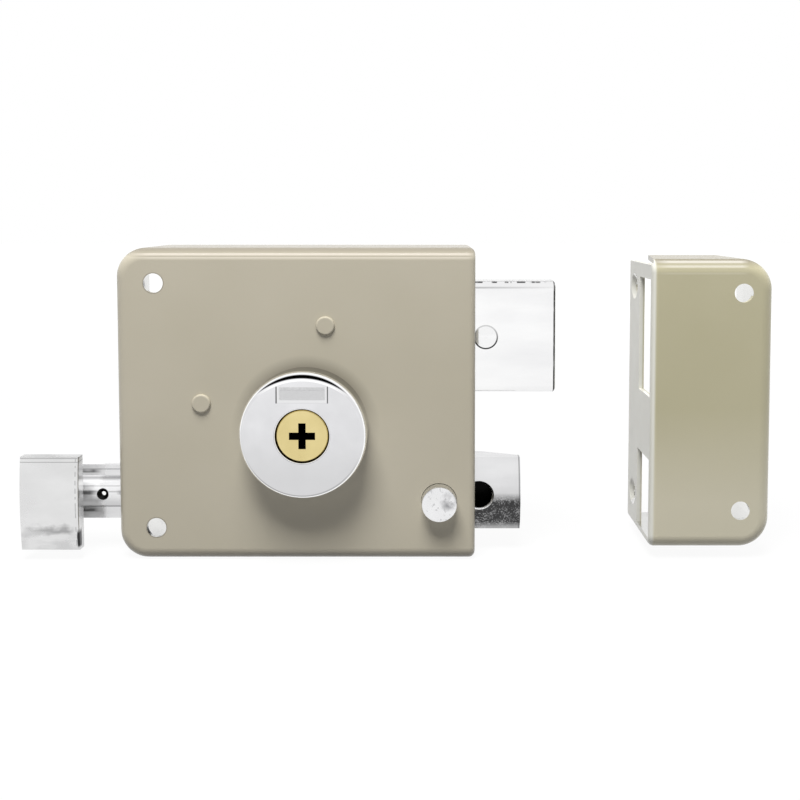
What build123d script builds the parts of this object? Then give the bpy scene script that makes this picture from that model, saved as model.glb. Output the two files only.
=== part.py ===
"""Rim box lock with a cross-key cylinder, a rack-driven deadbolt, a sprung latch with a pull,
a snib button, and its strike box.

Millimetres. The origin is on the cylinder axis in the mounting plane at the back of the case.
x runs towards the bolts, z is up, and the face of the case looks towards -y.
A depth is measured from the face of the case towards the door; at() turns it into y.
The lock is drawn with the deadbolt thrown, the latch out and the button up.
"""
import math
import os

from build123d import *

# Case
case_width = 105.0
case_height = 92.0
case_depth = 30.0
backset = 49.5
axis_drop_share = 0.5761
case_sheet = 1.5
case_corner_radius = 8.5
case_bend_radius = 3.5
case_fold_radius = 1.8
mount_hole_radius = 2.85
mount_hole_inset = 11.4
mount_hole_drop = 10.2
mount_hole_rise = 9.8

# Clearances
overrun = 2.0
running_gap = 0.05
sliding_gap = 0.1
loose_gap = 0.3

# Posts riveted in the face
guide_post_x = 5.8
guide_post_lift = 4.05
lever_post_x = -30.5
post_radius = 2.5
post_shoulder_radius = 3.2
post_shank_radius = 2.0
post_head_radius = 2.75
post_head_rise = 0.8
post_head_edge = 0.55
post_clip_radius = 4.2
post_clip_thickness = 0.6

# Back plate and its screws
back_sheet = 1.5
back_plate_lap = 7.5
tail_bore_radius = 7.0
back_screw_radius = 1.3
back_screw_head_radius = 2.8
back_screw_length = 8.0
back_screw_slot_width = 0.7
back_screw_slot_depth = 0.7

# Cylinder
drum_radius = 18.3
drum_rise = 9.0
drum_wall = 1.5
drum_cone_drop = 0.45
drum_rim_radius = 1.8
drum_mouth_radius = 8.05
name_plate_width = 14.8
name_plate_height = 4.7
name_plate_rise = 9.4
name_plate_depth = 0.4
name_plate_border = 1.0
name_plate_pad = 0.22
neck_radius = 10.5
neck_length = 11.5
plug_radius = 7.0
plug_collar_radius = 7.5
plug_collar_length = 2.0
plug_recess = 0.2
plug_edge = 0.4
plug_end = 13.2
plug_groove_radius = 6.0
plug_clip_radius = 9.5
plug_clip_thickness = 0.7
keyway_tip = 3.7
keyway_arm = 2.1
keyway_depth = 19.0
pin_radius = 1.15
pin_row_gap = 2.8
pin_first_depth = 5.0
pin_count = 2
driver_length = 3.0
pin_spring_wall = 0.35
cylinder_screw_circle = 13.7
cylinder_screw_angle = 45.0
cylinder_screw_radius = 1.4
cylinder_screw_reach = 5.0
cylinder_screw_head_radius = 2.6
cylinder_screw_head_height = 1.9
cylinder_screw_slot_width = 0.8
cylinder_screw_slot_depth = 0.9

# Pinion and rack
pinion_module = 0.75
pinion_teeth = 10
pressure_angle = 20.0
pinion_front = 13.4
pinion_thickness = 2.6
pinion_hub_radius = 4.6
pinion_hub_inset = 3.0
pinion_tenon = 3.0
tail_slot_length = 6.6
tail_slot_width = 1.8
tail_slot_depth = 6.4
tail_slot_floor = 0.8
tooth_backlash = 0.06
flank_steps = 4
rack_addendum = 0.4
rack_root_gap = 0.15

# Deadbolt and its tail plate
deadbolt_height = 33.2
deadbolt_drop_share = 0.2897
deadbolt_front = 5.5
deadbolt_thickness = 10.0
deadbolt_proud = 0.4
deadbolt_held = 14.0
deadbolt_edge = 0.5
deadbolt_round = 1.9
deadbolt_rivet_inset = 20.7
deadbolt_rivet_radius = 2.0
deadbolt_rivet_head_radius = 3.3
deadbolt_rivet_head_rise = 0.45
tail_sheet = 2.0
tail_reach = 22.0
tail_height = 26.0
tail_arm = 5.4
rack_arm = 5.6
finger_inset = 0.8
finger_width = 1.5
finger_height = 3.4
finger_lift = 0.6
finger_depth = 2.4

# Latch
latch_height = 21.8
latch_rise_share = 0.1924
latch_front = 5.8
latch_thickness = 9.7
latch_crown = 2.4
latch_throw = 12.0
latch_proud = 1.9
latch_held = 20.0
latch_nose = 2.6
latch_bevel_length = 11.4
latch_lug_width = 4.0
latch_lug_height = 10.4
latch_lug_margin = 3.6
snib_hole_radius = 3.95
snib_hole_depth = 7.2
snib_hole_chamfer = 0.6
latch_edge = 0.5

# Latch rod, pins and grip
rod_height = 16.5
rod_sheet = 1.5
rod_front = 10.0
rod_tongue = 6.0
rod_tongue_height = 9.4
bead_height = 9.8
bead_rise = 3.4
bead_end = 8.0
rod_hole_radius = 0.65
rod_hole_sink = 1.65
rod_hole_sink_depth = 1.0
rod_hole_inset = 6.6
rod_pin_radius = 1.2
rod_pin_margin = 1.8
rod_pin_inset = 3.0
grip_gap = 11.1
grip_width = 17.2
grip_height = 27.6
grip_sag = 0.7
grip_rise = 1.5
grip_thickness = 4.5
grip_crown = 0.9
grip_edge = 0.7
grip_neck_inset = 6.0
grip_neck_end = 1.5
grip_neck_margin = 1.9
grip_neck_back = 14.0
grip_rivet_radius = 1.2
grip_rivet_spread = 6.6
lever_pin_radius = 1.5
lever_pin_head_radius = 2.3
lever_pin_head_height = 0.7

# Latch spring
spring_depth_share = 0.5235
spring_guide_radius = 1.5
spring_guide_tail = 5.0
spring_radius = 3.0
spring_wire_radius = 0.4
spring_turns = 7
bracket_sheet = 1.6
bracket_x = 7.5
bracket_foot = 11.0
bracket_width = 12.0
bracket_rise = 4.6
bracket_rivet_radius = 1.2
bracket_rivet_head_radius = 2.0
bracket_rivet_head_rise = 0.6
bracket_rivet_spread = 3.4

# Lever
lever_front = 16.3
lever_sheet = 2.0
lever_hub_radius = 3.7
lever_fork_radius = 4.0
lever_fork_reach = 31.6
lever_fork_end = 2.7
lever_slot_lead = 2.3
lever_fork_gap = 0.2

# Snib button
snib_inset = 10.6
snib_radius = 5.2
snib_rise = 4.2
snib_edge = 0.9
snib_travel = 3.0
snib_body_end = 2.3
snib_stem_radius = 2.4
snib_stem_end = 5.4
snib_groove = 0.6
snib_clip_radius = 6.6
snib_clip_thickness = 0.6
snib_spring_sheet = 0.3
snib_spring_width = 10.0
snib_spring_reach = 5.4
snib_spring_foot = 7.0
snib_spring_length = 26.0
snib_spring_set = 0.75

# Strike box
strike_gap = 51.3
strike_width = 35.7
strike_drop = 3.3
strike_lift = 3.3
strike_depth = 30.0
strike_sheet = 1.5
strike_corner_radius = 9.0
strike_bend_radius = 3.8
strike_fold_radius = 1.8
strike_notch = 6.0
strike_flange_drop = 1.7
strike_opening_front = 2.2
strike_opening_margin = 0.75
strike_bolt_gap = 0.8
strike_latch_gap = 1.7
strike_hole_radius = 2.75
strike_hole_inset = 26.6
strike_hole_drop = 9.8
strike_hole_rise = 11.5
flange_hole_radius = 2.2
flange_sink_radius = 4.0
flange_sink_depth = 1.0
flange_hole_inset = 6.4
flange_hole_drop = 9.5
flange_hole_rise = 10.4

# Worked out from the sizes above
case_left = backset - case_width
case_right = backset
case_top = case_height * axis_drop_share
case_bottom = case_top - case_height
pitch_radius = pinion_module * pinion_teeth / 2
rack_pitch = math.pi * pinion_module
deadbolt_throw = 2 * math.pi * pitch_radius
deadbolt_rise = case_top - case_height * deadbolt_drop_share
deadbolt_end = case_right + deadbolt_throw + deadbolt_proud
deadbolt_start = case_right - deadbolt_held
deadbolt_back = deadbolt_front + deadbolt_thickness
tail_front = deadbolt_back - tail_sheet
guide_post_z = deadbolt_rise + guide_post_lift
latch_end = case_right + latch_throw + latch_proud
latch_start = case_right - latch_held
latch_back = latch_front + latch_thickness
latch_z = case_bottom + case_height * latch_rise_share
snib_x = case_right - snib_inset
rod_back = rod_front + rod_sheet
rod_right = latch_start + rod_tongue
rod_pin_spread = rod_tongue_height / 2 - rod_pin_margin
spring_depth = rod_back + (case_depth - back_sheet - rod_back) * spring_depth_share
grip_right = case_left - grip_gap
grip_left = grip_right - grip_width
rod_left = grip_left + grip_neck_end
lever_arm = lever_fork_reach - lever_fork_end
lever_post_z = latch_z + lever_arm
lever_slot_start = lever_arm - lever_slot_lead
lever_pin_x = lever_post_x + latch_throw / 2
lever_lean = math.degrees(math.atan2(latch_throw / 2, lever_arm))
strike_left = case_right + strike_gap
strike_right = strike_left + strike_width
strike_top = case_top - strike_drop
strike_bottom = case_bottom + strike_lift
drum_body_radius = drum_radius - drum_wall
drum_body_rise = drum_rise - drum_wall
pinion_hub_end = case_depth - pinion_hub_inset
tail_slot_start = pinion_hub_end - tail_slot_depth
pinion_tenon_end = tail_slot_start - tail_slot_floor


def at(depth):
    """y of a depth below the face of the case."""
    return depth - case_depth


def block(left, right, front, back, bottom, top):
    """Box between two x, two depths and two z."""
    place = Pos((left + right) / 2, at((front + back) / 2), (bottom + top) / 2)
    return place * Box(right - left, back - front, top - bottom)


def face_plane(depth):
    """Plane at a depth, with x to the right and z up, facing the room."""
    return Plane((0, at(depth), 0), x_dir=(1, 0, 0), z_dir=(0, -1, 0))


def slab(sketch, front, back):
    """Sketch in x and z, carried from one depth to another."""
    return extrude(face_plane(back) * sketch, amount=back - front)


def disc(x, z, radius, front, back):
    """Round piece along y between two depths."""
    return slab(Pos(x, z) * Circle(radius), front, back)


def ring(x, z, outer, inner, front, back):
    """Washer along y between two depths."""
    return slab(Pos(x, z) * (Circle(outer) - Circle(inner)), front, back)


def bar(left, right, depth, z, radius):
    """Round bar along x."""
    plane = Plane((left, at(depth), z), x_dir=(0, 1, 0), z_dir=(1, 0, 0))
    return extrude(plane * Circle(radius), amount=right - left)


def lathe(points):
    """Piece turned about the cylinder axis from points of radius and depth."""
    outline = [(radius, at(depth), 0) for radius, depth in points]
    face = make_face(Polyline(*outline, close=True))
    return revolve(face, Axis.Y)


def dome(x, z, radius, rise, depth):
    """Round cap that stands off a flat back at a depth."""
    sphere = (radius**2 + rise**2) / (2 * rise)
    half_turn = math.asin(radius / sphere) / 2
    crown = (0, at(depth - rise), 0)
    middle = (sphere * math.sin(half_turn), at(depth - rise + sphere * (1 - math.cos(half_turn))), 0)
    rim = (radius, at(depth), 0)
    outline = [ThreePointArc(crown, middle, rim), Line(rim, (0, at(depth), 0)), Line((0, at(depth), 0), crown)]
    return Pos(x, 0, z) * revolve(make_face(outline), Axis.Y)


def spread(piece, places):
    """The same piece at several x and z places."""
    return [Pos(x, 0, z) * piece for x, z in places]


def flat_edges(solid, axis_name, value):
    """Edges that lie wholly in a plane across x or y."""
    found = []
    for edge in solid.edges():
        box = edge.bounding_box()
        low = getattr(box.min, axis_name)
        high = getattr(box.max, axis_name)
        if abs(low - value) + abs(high - value) < running_gap / 10:
            found.append(edge)
    return found


def pan(left, right, bottom, top, front, back, corner, bend, fold, fold_side):
    """Drawn box: three drawn sides with round corners, and a folded side."""
    solid = block(left, right, front, back, bottom, top)
    fold_x = right if fold_side > 0 else left
    round_x = left if fold_side > 0 else right
    corners = [e for e in solid.edges().filter_by(Axis.Y) if abs(e.center().X - round_x) < running_gap]
    solid = fillet(corners, corner)
    drawn = [e for e in flat_edges(solid, "Y", at(front)) if abs(e.center().X - fold_x) > running_gap]
    solid = fillet(drawn, bend)
    folded = [e for e in flat_edges(solid, "X", fold_x) if e.center().Y < at(front) + bend]
    return fillet(folded, fold)


def hollow_pan(left, right, bottom, top, depth, sheet, corner, bend, fold, fold_side):
    """Pressed sheet box, open at the back."""
    outer = pan(left, right, bottom, top, 0, depth, corner, bend, fold, fold_side)
    inner = pan(
        left + sheet, right - sheet, bottom + sheet, top - sheet, sheet, depth + overrun,
        corner - sheet, bend - sheet, fold - sheet, fold_side,
    )
    return outer - inner


def mount_places():
    """Places of the two screw holes through the case."""
    x = case_left + mount_hole_inset
    return [(x, case_top - mount_hole_drop), (x, case_bottom + mount_hole_rise)]


def cylinder_screw_places():
    """Places of the two screws that hold the cylinder."""
    places = []
    for turn in (0, 180):
        angle = math.radians(cylinder_screw_angle + turn)
        places.append((cylinder_screw_circle * math.cos(angle), cylinder_screw_circle * math.sin(angle)))
    return places


def post_places():
    """Places of the guide post and the lever post."""
    return [(guide_post_x, guide_post_z), (lever_post_x, lever_post_z)]


def case_shell():
    """Pressed case with its holes and bolt slots."""
    shell = hollow_pan(
        case_left, case_right, case_bottom, case_top, case_depth, case_sheet,
        case_corner_radius, case_bend_radius, case_fold_radius, 1,
    )
    for x, z in mount_places():
        shell -= disc(x, z, mount_hole_radius, -overrun, case_sheet + overrun)
    for x, z in post_places():
        shell -= disc(x, z, post_shank_radius, -overrun, case_sheet + overrun)
    for x, z in cylinder_screw_places():
        shell -= disc(x, z, cylinder_screw_radius + sliding_gap, -overrun, case_sheet + overrun)
    shell -= disc(0, 0, neck_radius + sliding_gap, -overrun, case_sheet + overrun)
    shell -= disc(snib_x, latch_z, snib_radius + sliding_gap, -overrun, case_sheet + overrun)
    wall = case_sheet + overrun
    half = deadbolt_height / 2 + loose_gap
    front = deadbolt_front - deadbolt_rivet_head_rise - loose_gap
    shell -= block(
        case_right - wall, case_right + overrun, front, deadbolt_back + loose_gap,
        deadbolt_rise - half, deadbolt_rise + half,
    )
    half = latch_height / 2 + loose_gap
    shell -= block(
        case_right - wall, case_right + overrun, latch_front - loose_gap, latch_back + loose_gap,
        latch_z - half, latch_z + half,
    )
    half = rod_height / 2 + loose_gap
    shell -= block(
        case_left - overrun, case_left + wall, rod_front - bead_rise - loose_gap, rod_back + loose_gap,
        latch_z - half, latch_z + half,
    )
    return shell


def back_plate():
    """Flat cover on the door side, clear of the two screw holes of the case."""
    left = lever_post_x - back_plate_lap
    right = case_right - case_sheet - sliding_gap
    bottom = case_bottom + case_sheet + sliding_gap
    top = case_top - case_sheet - sliding_gap
    front = case_depth - back_sheet
    plate = block(left, right, front, case_depth, bottom, top)
    plate -= disc(0, 0, tail_bore_radius, front - overrun, case_depth + overrun)
    for screw in back_screws():
        plate -= screw
    for x, z in post_places():
        plate -= disc(x, z, back_screw_head_radius, case_depth - back_screw_slot_depth, case_depth + overrun)
        plate -= disc(x, z, back_screw_radius, front - overrun, case_depth + overrun)
    for x, z in bracket_rivet_places():
        plate -= disc(x, z, bracket_rivet_radius, front - overrun, case_depth + overrun)
    return plate


def back_screws():
    """Countersunk screws from the back plate into the posts."""
    front = case_depth - back_screw_length
    shank = disc(0, 0, back_screw_radius, front, case_depth - back_screw_slot_depth)
    head_profile = [
        (0, case_depth - back_sheet),
        (back_screw_radius, case_depth - back_sheet),
        (back_screw_head_radius, case_depth - back_screw_slot_depth),
        (back_screw_head_radius, case_depth),
        (0, case_depth),
    ]
    half = back_screw_slot_width / 2
    slot = block(
        -back_screw_head_radius, back_screw_head_radius,
        case_depth - back_screw_slot_depth, case_depth + overrun, -half, half,
    )
    screw = shank + lathe(head_profile) - slot
    return spread(screw, post_places())


def post(shoulder_end):
    """Post with a flat round head on the face, a shank, a shoulder and a screw hole in its end."""
    end = case_depth - back_sheet
    head = disc(0, 0, post_head_radius, -post_head_rise, 0)
    rim = [e for e in head.edges() if e.center().Y < at(-post_head_rise / 2)]
    solid = fillet(rim, post_head_edge) + disc(0, 0, post_shank_radius, 0, case_sheet)
    solid += disc(0, 0, post_shoulder_radius, case_sheet, shoulder_end)
    solid += disc(0, 0, post_radius, shoulder_end, end)
    return solid - disc(0, 0, back_screw_radius, case_depth - back_screw_length, end + overrun)


def bolt_guide_post():
    """Post that guides the slot of the deadbolt tail."""
    return Pos(guide_post_x, 0, guide_post_z) * post(tail_front - sliding_gap)


def lever_post():
    """Post that the latch lever turns on."""
    return Pos(lever_post_x, 0, lever_post_z) * post(lever_front - sliding_gap)


def post_clips():
    """Clips behind the deadbolt tail and the lever."""
    clips = []
    for (x, z), front in zip(post_places(), (deadbolt_back, lever_front + lever_sheet)):
        start = front + sliding_gap
        clips.append(ring(x, z, post_clip_radius, post_radius, start, start + post_clip_thickness))
    return clips


def chamber_depths():
    """Depths of the pin rows."""
    return [-pin_first_depth + index * pin_row_gap for index in range(pin_count)]


def radial(inner, outer, radius, depth, turn):
    """Round piece along a radius of the cylinder."""
    plane = Plane((inner, at(depth), 0), x_dir=(0, 1, 0), z_dir=(1, 0, 0))
    return Rot(0, turn, 0) * extrude(plane * Circle(radius), amount=outer - inner)


def pin_rows(inner, outer, radius):
    """One round piece in each pin chamber, as a list."""
    pieces = []
    for turn in range(0, 360, 90):
        for depth in chamber_depths():
            pieces.append(radial(inner, outer, radius, depth, turn))
    return pieces


def cylinder_body():
    """Body of the cylinder: a wide front part in the drum and a neck through the case."""
    collar = drum_rise - plug_recess - plug_collar_length
    bore = plug_radius + running_gap
    seat = drum_mouth_radius + sliding_gap
    body = lathe([
        (seat, -drum_body_rise),
        (drum_body_radius, -drum_body_rise),
        (drum_body_radius, 0),
        (neck_radius, 0),
        (neck_radius, neck_length),
        (bore, neck_length),
        (bore, -collar + sliding_gap),
        (seat, -collar + sliding_gap),
    ])
    for chamber in pin_rows(plug_radius - running_gap, drum_body_radius + overrun, pin_radius):
        body -= chamber
    for x, z in cylinder_screw_places():
        body -= disc(x, z, cylinder_screw_radius, -cylinder_screw_reach, 0)
    return body


def drum_cover():
    """Chromed cap over the cylinder body, with a rounded rim and a bare recess for a name plate."""
    cover = lathe([
        (drum_mouth_radius, -drum_rise),
        (drum_radius, -drum_rise + drum_cone_drop),
        (drum_radius, 0),
        (drum_body_radius, 0),
        (drum_body_radius, -drum_body_rise),
        (drum_mouth_radius, -drum_body_rise),
    ])
    rim = [e for e in cover.edges() if abs(e.bounding_box().max.X - drum_radius) < running_gap]
    cover = fillet([e for e in rim if e.center().Y < at(-drum_rise / 2)], drum_rim_radius)
    floor = -drum_rise + name_plate_depth
    cover -= name_plate_block(0, -drum_rise - overrun, floor)
    return cover + name_plate_block(name_plate_border, floor - name_plate_pad, floor)


def name_plate_block(border, front, back):
    """Block the size of the name plate's recess, less a border, between two depths."""
    half_width = name_plate_width / 2 - border
    low = name_plate_rise + border
    return block(-half_width, half_width, front, back, low, name_plate_rise + name_plate_height - border)


def cylinder_plug():
    """Brass plug with a cross keyway, a groove for its clip and a square tenon."""
    front = -drum_rise + plug_recess
    collar_back = front + plug_collar_length
    groove_front = neck_length + sliding_gap
    groove_back = groove_front + plug_clip_thickness
    plug = lathe([
        (0, front),
        (plug_collar_radius - plug_edge, front),
        (plug_collar_radius, front + plug_edge),
        (plug_collar_radius, collar_back),
        (plug_radius, collar_back),
        (plug_radius, groove_front),
        (plug_groove_radius, groove_front),
        (plug_groove_radius, groove_back),
        (plug_radius, groove_back),
        (plug_radius, plug_end),
        (0, plug_end),
    ])
    arms = Rectangle(2 * keyway_tip, keyway_arm) + Rectangle(keyway_arm, 2 * keyway_tip)
    plug -= slab(arms, front - overrun, front + keyway_depth)
    for hole in pin_rows(keyway_arm / 2, plug_radius + overrun, pin_radius):
        plug -= hole
    half = pinion_tenon / 2
    return plug + block(-half, half, plug_end, pinion_tenon_end, -half, half)


def key_pins():
    """Pins in the plug, between the keyway and the shear line."""
    return pin_rows(keyway_tip, plug_radius - running_gap, pin_radius)


def driver_pins():
    """Pins in the body, just outside the shear line."""
    inner = plug_radius + running_gap + sliding_gap
    return pin_rows(inner, inner + driver_length, pin_radius)


def pin_springs():
    """Springs behind the driver pins, drawn as sleeves."""
    inner = plug_radius + running_gap + sliding_gap + driver_length
    springs = []
    tubes = pin_rows(inner, drum_body_radius - sliding_gap, pin_radius)
    cores = pin_rows(inner - overrun, drum_body_radius + overrun, pin_radius - pin_spring_wall)
    for tube, core in zip(tubes, cores):
        springs.append(tube - core)
    return springs


def plug_clip():
    """Clip in the plug's groove, behind the neck of the body."""
    front = neck_length + sliding_gap
    return ring(0, 0, plug_clip_radius, plug_groove_radius, front, front + plug_clip_thickness)


def cylinder_screws():
    """Screws from inside the case into the cylinder body."""
    head_back = case_sheet + cylinder_screw_head_height
    screw = disc(0, 0, cylinder_screw_radius, -cylinder_screw_reach, case_sheet)
    screw += disc(0, 0, cylinder_screw_head_radius, case_sheet, head_back)
    half = cylinder_screw_slot_width / 2
    screw -= block(
        -cylinder_screw_head_radius, cylinder_screw_head_radius,
        head_back - cylinder_screw_slot_depth, head_back + overrun, -half, half,
    )
    return spread(screw, cylinder_screw_places())


def involute_point(base, radius):
    """Angle that an involute has turned at a radius."""
    if radius <= base:
        return 0
    roll = math.sqrt((radius / base) ** 2 - 1)
    return roll - math.atan(roll)


def pinion_outline():
    """Points of the ten involute teeth, with one tooth straight up."""
    pressure = math.radians(pressure_angle)
    base = pitch_radius * math.cos(pressure)
    tip = pitch_radius + pinion_module
    root = pitch_radius - rack_addendum - rack_root_gap
    half_at_pitch = (rack_pitch / 4 - tooth_backlash) / pitch_radius
    half_at_base = half_at_pitch + involute_point(base, pitch_radius)
    radii = [base + (tip - base) * step / flank_steps for step in range(flank_steps + 1)]
    points = []
    for tooth in range(pinion_teeth):
        middle = math.pi / 2 + 2 * math.pi * tooth / pinion_teeth
        rising = [(root, middle - half_at_base)]
        rising += [(r, middle - half_at_base + involute_point(base, r)) for r in radii]
        falling = [(r, 2 * middle - angle) for r, angle in reversed(rising)]
        for radius, angle in rising + falling:
            points.append((radius * math.cos(angle), radius * math.sin(angle)))
    return points


def drive_pinion():
    """Pinion on the plug's tenon, with a hub that takes the tail of an outer cylinder."""
    pinion = slab(Polygon(*pinion_outline(), align=None), pinion_front, pinion_front + pinion_thickness)
    pinion += disc(0, 0, pinion_hub_radius, pinion_front + pinion_thickness, pinion_hub_end)
    half = pinion_tenon / 2
    pinion -= block(-half, half, pinion_front - overrun, pinion_tenon_end, -half, half)
    slot = Rectangle(tail_slot_length, tail_slot_width)
    return pinion - slab(slot, tail_slot_start, pinion_hub_end + overrun)


def rack_tooth(middle):
    """One straight-sided rack tooth that points down, as a face."""
    slope = math.tan(math.radians(pressure_angle))
    root_line = pitch_radius + pinion_module + rack_root_gap
    half = rack_pitch / 4 - tooth_backlash
    tip_half = half - rack_addendum * slope
    root_half = half + (root_line - pitch_radius) * slope
    tip_line = pitch_radius - rack_addendum
    return Polygon(
        (middle - tip_half, tip_line),
        (middle + tip_half, tip_line),
        (middle + root_half, root_line + rack_root_gap),
        (middle - root_half, root_line + rack_root_gap),
        align=None,
    )


def deadbolt():
    """Thick bolt with a pocket in its back for the tail plate."""
    half = deadbolt_height / 2
    bolt = block(
        deadbolt_start, deadbolt_end, deadbolt_front, deadbolt_back,
        deadbolt_rise - half, deadbolt_rise + half,
    )
    along = [e for e in flat_edges(bolt, "Y", at(deadbolt_front)) if e.bounding_box().size.X > deadbolt_edge]
    bolt = fillet(along, deadbolt_round)
    bolt = chamfer(flat_edges(bolt, "X", deadbolt_end), deadbolt_edge)
    tail_half = tail_height / 2
    bolt -= block(
        deadbolt_start - overrun, deadbolt_start + tail_reach, tail_front, deadbolt_back + overrun,
        deadbolt_rise - tail_half, deadbolt_rise + tail_half,
    )
    rivet_x = deadbolt_end - deadbolt_rivet_inset
    return bolt - disc(rivet_x, deadbolt_rise, deadbolt_rivet_radius, 0, deadbolt_back)


def deadbolt_tail():
    """Plate behind the deadbolt: rack, guide slot and the finger that meets the lever."""
    half = tail_height / 2
    right = deadbolt_start + tail_reach
    low = deadbolt_rise - half
    high = deadbolt_rise + half
    root_line = pitch_radius + pinion_module + rack_root_gap
    rack_left = -rack_pitch
    rack_right = deadbolt_throw + rack_pitch
    arm_top = root_line + rack_arm
    slot_low = guide_post_z - post_radius - tail_arm / 2
    slot_high = guide_post_z + post_radius + tail_arm / 2
    arm_left = guide_post_x - post_radius - tail_arm / 2
    window_right = deadbolt_start - tail_arm / 2
    outline = Polygon(
        (rack_left, root_line),
        (rack_right + tail_arm, root_line),
        (deadbolt_start - loose_gap, low),
        (right, low),
        (right, high),
        (deadbolt_start + tail_arm, high),
        (deadbolt_start, slot_high),
        (arm_left, slot_high),
        (arm_left, slot_low),
        (window_right, slot_low),
        (window_right, low),
        (window_right - tail_arm / 2, arm_top),
        (rack_left, arm_top),
        align=None,
    )
    tooth_count = pinion_teeth + 2
    for index in range(tooth_count):
        outline += rack_tooth((index - 1 / 2) * rack_pitch)
    plate = slab(outline, tail_front, deadbolt_back)
    slot_right = guide_post_x + deadbolt_throw
    slot_half = post_radius + running_gap
    slot = Pos(guide_post_x, guide_post_z) * Circle(slot_half)
    slot += Pos(slot_right, guide_post_z) * Circle(slot_half)
    slot += Pos((guide_post_x + slot_right) / 2, guide_post_z) * Rectangle(deadbolt_throw, 2 * slot_half)
    plate -= slab(slot, tail_front - overrun, deadbolt_back + overrun)
    plate -= disc(
        deadbolt_end - deadbolt_rivet_inset, deadbolt_rise, deadbolt_rivet_radius, 0, case_depth,
    )
    finger_low = root_line + finger_lift
    plate += block(
        rack_left + finger_inset, rack_left + finger_inset + finger_width,
        deadbolt_back, deadbolt_back + finger_depth,
        finger_low, finger_low + finger_height,
    )
    return plate


def deadbolt_rivet():
    """Rivet with a raised round head on the front of the deadbolt."""
    x = deadbolt_end - deadbolt_rivet_inset
    head = dome(x, deadbolt_rise, deadbolt_rivet_head_radius, deadbolt_rivet_head_rise, deadbolt_front)
    return head + disc(x, deadbolt_rise, deadbolt_rivet_radius, deadbolt_front, deadbolt_back)


def crowned_face(front, back, bottom, top, crown):
    """Section with a flat back and a bowed front, as a face in depth and z."""
    middle = (bottom + top) / 2
    low = (0, at(front + crown), bottom)
    high = (0, at(front + crown), top)
    arc = ThreePointArc(low, (0, at(front), middle), high)
    rest = Polyline(high, (0, at(back), top), (0, at(back), bottom), low)
    return make_face([arc, *rest.edges()])


def along_x(face, left, right):
    """Section in depth and z, carried from one x to another."""
    return Pos(left, 0, 0) * extrude(face, amount=right - left, dir=(1, 0, 0))


def latch_bolt():
    """Latch with a bowed front, a bevel at the back of its nose, two snib holes and a lug."""
    half = latch_height / 2
    face = crowned_face(latch_front, latch_back, latch_z - half, latch_z + half, latch_crown)
    bolt = along_x(face, latch_start, latch_end)
    nose = latch_front + latch_crown + latch_nose
    bevel = Polyline(
        (latch_end + overrun, at(nose), 0),
        (latch_end, at(nose), 0),
        (latch_end - latch_bevel_length, at(latch_back), 0),
        (latch_end - latch_bevel_length, at(latch_back + overrun), 0),
        (latch_end + overrun, at(latch_back + overrun), 0),
        close=True,
    )
    wedge = extrude(make_face(bevel), amount=latch_height, both=True, dir=(0, 0, 1))
    bolt -= Pos(0, 0, latch_z) * wedge
    for x in (snib_x, snib_x + latch_throw):
        bolt -= disc(x, latch_z, snib_hole_radius, 0, latch_front + snib_hole_depth)
        sink = Cone(
            snib_hole_radius + snib_hole_chamfer, snib_hole_radius, snib_hole_chamfer,
            align=(Align.CENTER, Align.CENTER, Align.MIN),
        )
        bolt -= face_plane(latch_front).location * Rot(180, 0, 0) * Pos(x, -latch_z, 0) * sink
    lug_half = latch_lug_height / 2
    bolt += block(
        latch_start, latch_start + latch_lug_width, latch_back, spring_depth + latch_lug_margin,
        latch_z - lug_half, latch_z + lug_half,
    )
    bolt -= rod_tongue_bar(latch_start - overrun)
    for pin in rod_pins():
        bolt -= pin
    return bolt - bar(latch_start, latch_start + latch_lug_width, spring_depth, latch_z, spring_guide_radius)


def rod_tongue_bar(left):
    """Narrow flat part of the rod, from an x to its end in the latch."""
    half = rod_tongue_height / 2
    return block(left, rod_right, rod_front, rod_back, latch_z - half, latch_z + half)


def rod_face():
    """Section of the rod's wide part in depth and z, with a round bead along its middle."""
    half = rod_height / 2
    low = latch_z - half
    high = latch_z + half
    bead = bead_height / 2
    inner = bead - rod_sheet
    front = [
        Line((0, at(rod_front), low), (0, at(rod_front), latch_z - bead)),
        ThreePointArc(
            (0, at(rod_front), latch_z - bead), (0, at(rod_front - bead_rise), latch_z),
            (0, at(rod_front), latch_z + bead),
        ),
        Line((0, at(rod_front), latch_z + bead), (0, at(rod_front), high)),
        Line((0, at(rod_front), high), (0, at(rod_back), high)),
    ]
    back = [
        Line((0, at(rod_back), high), (0, at(rod_back), latch_z + inner)),
        ThreePointArc(
            (0, at(rod_back), latch_z + inner), (0, at(rod_back - bead_rise), latch_z),
            (0, at(rod_back), latch_z - inner),
        ),
        Line((0, at(rod_back), latch_z - inner), (0, at(rod_back), low)),
        Line((0, at(rod_back), low), (0, at(rod_front), low)),
    ]
    return make_face(front + back)


def latch_rod():
    """Pressed rod between the grip and the latch: wide and beaded outside, a narrow tongue inside."""
    bead_stop = case_left + bead_end
    rod = along_x(rod_face(), rod_left, bead_stop) + rod_tongue_bar(bead_stop)
    hole_x = case_left - rod_hole_inset
    rod -= disc(hole_x, latch_z, rod_hole_radius, 0, case_depth)
    front = rod_front - bead_rise
    sink = lathe([
        (0, front - overrun), (rod_hole_sink, front - overrun), (rod_hole_sink, front),
        (rod_hole_radius, front + rod_hole_sink_depth), (0, front + rod_hole_sink_depth),
    ])
    rod -= Pos(hole_x, 0, latch_z) * sink
    rod -= disc(lever_pin_x, latch_z, lever_pin_radius, 0, case_depth)
    for pin in rod_pins() + grip_rivets():
        rod -= pin
    return rod


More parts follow.
